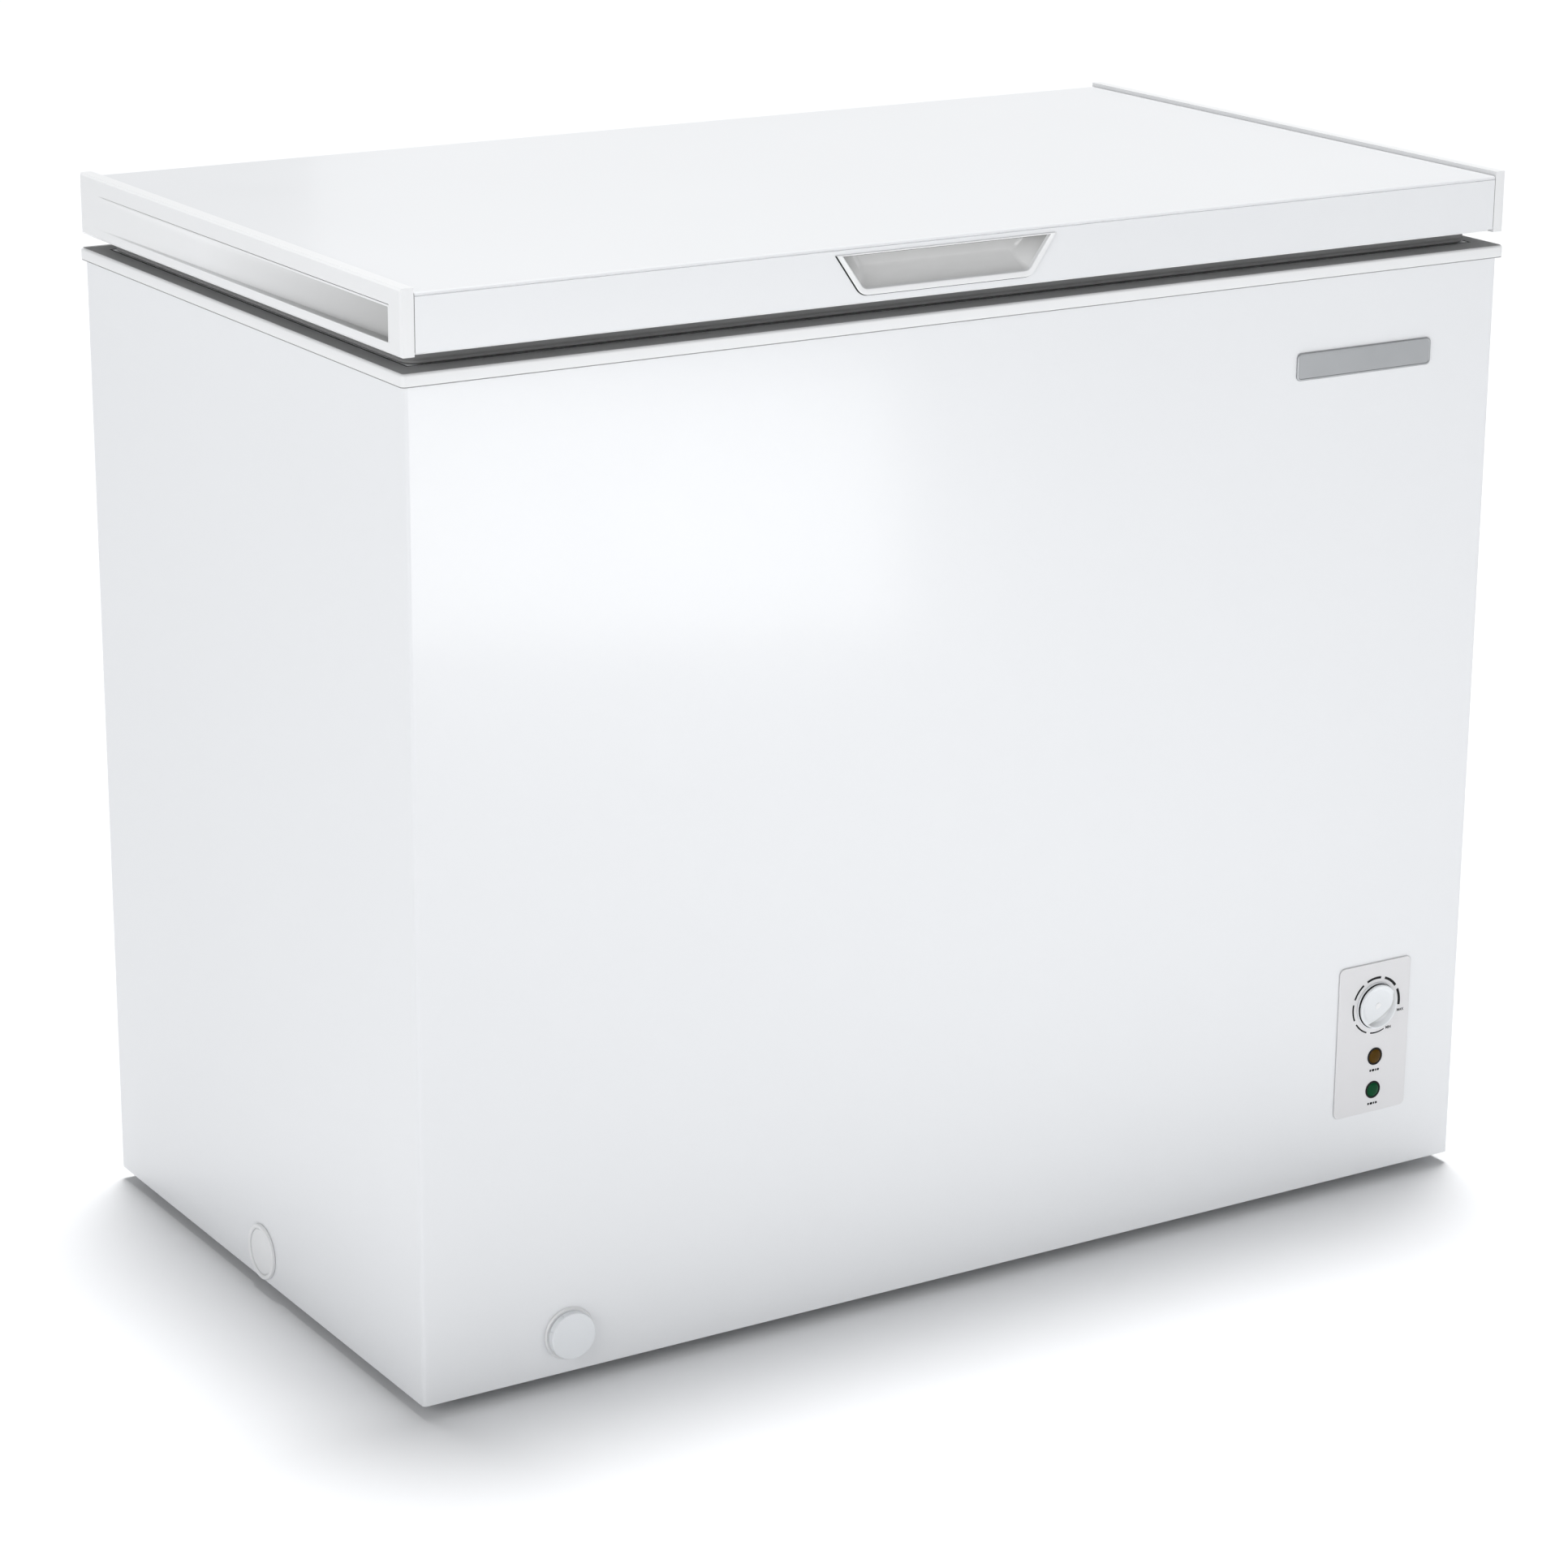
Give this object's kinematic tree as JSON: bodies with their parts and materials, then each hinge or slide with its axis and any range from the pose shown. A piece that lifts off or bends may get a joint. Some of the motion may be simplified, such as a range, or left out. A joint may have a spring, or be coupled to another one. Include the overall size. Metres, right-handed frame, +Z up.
{
  "type": "chest freezer",
  "caption": "Chest freezer with a hinged counterbalanced lid, recessed grip, thermostat panel, drain outlet and hanging basket.",
  "frame": {"origin": "on the floor, under the middle of the freezer's box", "axes": "+X to the right seen from the front, -Y the front, +Z up"},
  "size_m": [0.988, 0.5721, 0.85],
  "materials": {
    "white_paint": "white enamelled sheet steel, satin gloss",
    "galvanised": "galvanised sheet steel with a faint spangle",
    "foam": null,
    "liner": "stucco embossed aluminium sheet",
    "white_plastic": "white moulded plastic",
    "panel_plastic": "white panel plastic with a fine texture",
    "knob_plastic": "white knob plastic, smooth",
    "cap_plastic": "white lid end cap plastic, smooth",
    "liner_plastic": "white vacuum formed lid liner",
    "handle_plastic": "grey moulded grip",
    "grey_plastic": "grey moulded plastic",
    "black_plastic": "black moulded plastic",
    "gasket": "dark grey flexible gasket",
    "rubber": "black rubber",
    "copper": null,
    "black_paint": "black enamelled steel",
    "amber_lens": "amber tinted clear lens",
    "green_lens": "green tinted clear lens",
    "lamp_glass": "small neon lamp",
    "badge_metal": "blank satin metal badge",
    "spring_steel": "oiled spring steel",
    "basket_wire": "white plastic coated steel wire"
  },
  "bodies": {
    "root": {"outer_shell": "white_paint", "rear_panel": "galvanised", "base_pan": "galvanised", "machine_room_partition": "galvanised", "insulation_foam": "foam", "inner_liner": "liner", "top_frame": "white_plastic", "evaporator_coil": "copper", "condenser_coil": "copper", "compressor": "black_paint", "compressor_mount": "black_paint", "relay_cover": "black_plastic", "filter_drier": "copper", "capillary_tube": "copper", "suction_pipe": "copper", "discharge_pipe": "copper", "machine_room_cover": "grey_plastic", "side_vent_grille": "white_plastic", "cord_gland": "black_plastic", "control_panel": "panel_plastic", "thermostat_body": "galvanised", "amber_lens": "amber_lens", "green_lens": "green_lens", "amber_lamp": "lamp_glass", "green_lamp": "lamp_glass", "drain_flange": "white_plastic", "drain_hose": "grey_plastic", "side_plug": "white_plastic", "name_badge": "badge_metal", "foot_1": "rubber", "grommet_1": "rubber", "foot_2": "rubber", "grommet_2": "rubber", "foot_3": "rubber", "grommet_3": "rubber", "foot_4": "rubber", "grommet_4": "rubber", "hinge_housing_left": "white_paint", "hinge_pin_left": "galvanised", "hinge_spring_left": "spring_steel", "hinge_housing_right": "white_paint", "hinge_pin_right": "galvanised", "hinge_spring_right": "spring_steel"},
    "lid": {"lid_skin": "white_paint", "lid_end_cap_left": "cap_plastic", "lid_end_cap_right": "cap_plastic", "lid_foam": "foam", "lid_liner": "liner_plastic", "lid_gasket": "gasket", "lid_handle": "handle_plastic", "hinge_leaf_left": "white_paint", "hinge_leaf_right": "white_paint"},
    "plunger_left": {"hinge_plunger_left": "grey_plastic"},
    "plunger_right": {"hinge_plunger_right": "grey_plastic"},
    "knob": {"thermostat_knob": "knob_plastic", "thermostat_shaft": "white_plastic"},
    "drain_outlet": {"drain_seal": "white_plastic"},
    "drain_turner": {"drain_dial": "knob_plastic"},
    "inner_plug": {"drain_plug": "white_plastic"},
    "wire_basket": {"basket": "basket_wire"}
  },
  "joints": [
    {"name": "lid_hinge", "type": "hinge", "parent": "root", "child": "lid", "pos_m": [0, 0.2856, 0.797], "axis": [-1, 0, 0], "range_deg": [0, 80]},
    {"name": "left_plunger_slide", "type": "slide", "parent": "root", "child": "plunger_left", "axis": [0, 0, 1], "range_m": [0, 0.0046], "deforming": ["hinge_spring_left"]},
    {"name": "right_plunger_slide", "type": "slide", "parent": "root", "child": "plunger_right", "axis": [0, 0, 1], "range_m": [0, 0.0046], "deforming": ["hinge_spring_right"]},
    {"name": "knob_turn", "type": "hinge", "parent": "root", "child": "knob", "pos_m": [0.4025, -0.27475, 0.1595], "axis": [0, -1, 0], "range_deg": [-240, 65]},
    {"name": "drain_pull", "type": "slide", "parent": "root", "child": "drain_outlet", "axis": [0, -1, 0], "range_m": [0, 0.012]},
    {"name": "drain_turn", "type": "hinge", "parent": "drain_outlet", "child": "drain_turner", "pos_m": [-0.3665, -0.2752, 0.0417], "axis": [0, -1, 0], "range_deg": [0, 180]},
    {"name": "inner_plug_lift", "type": "slide", "parent": "root", "child": "inner_plug", "axis": [0, 0, 1], "range_m": [0, 0.03]},
    {"name": "basket_slide", "type": "slide", "parent": "root", "child": "wire_basket", "axis": [1, 0, 0], "range_m": [-0.58, 0]}
  ],
  "couplings": [
    {"joint": "left_plunger_slide", "follows": "lid_hinge", "m_per_rad": 0.003223},
    {"joint": "right_plunger_slide", "follows": "lid_hinge", "m_per_rad": 0.003223}
  ]
}
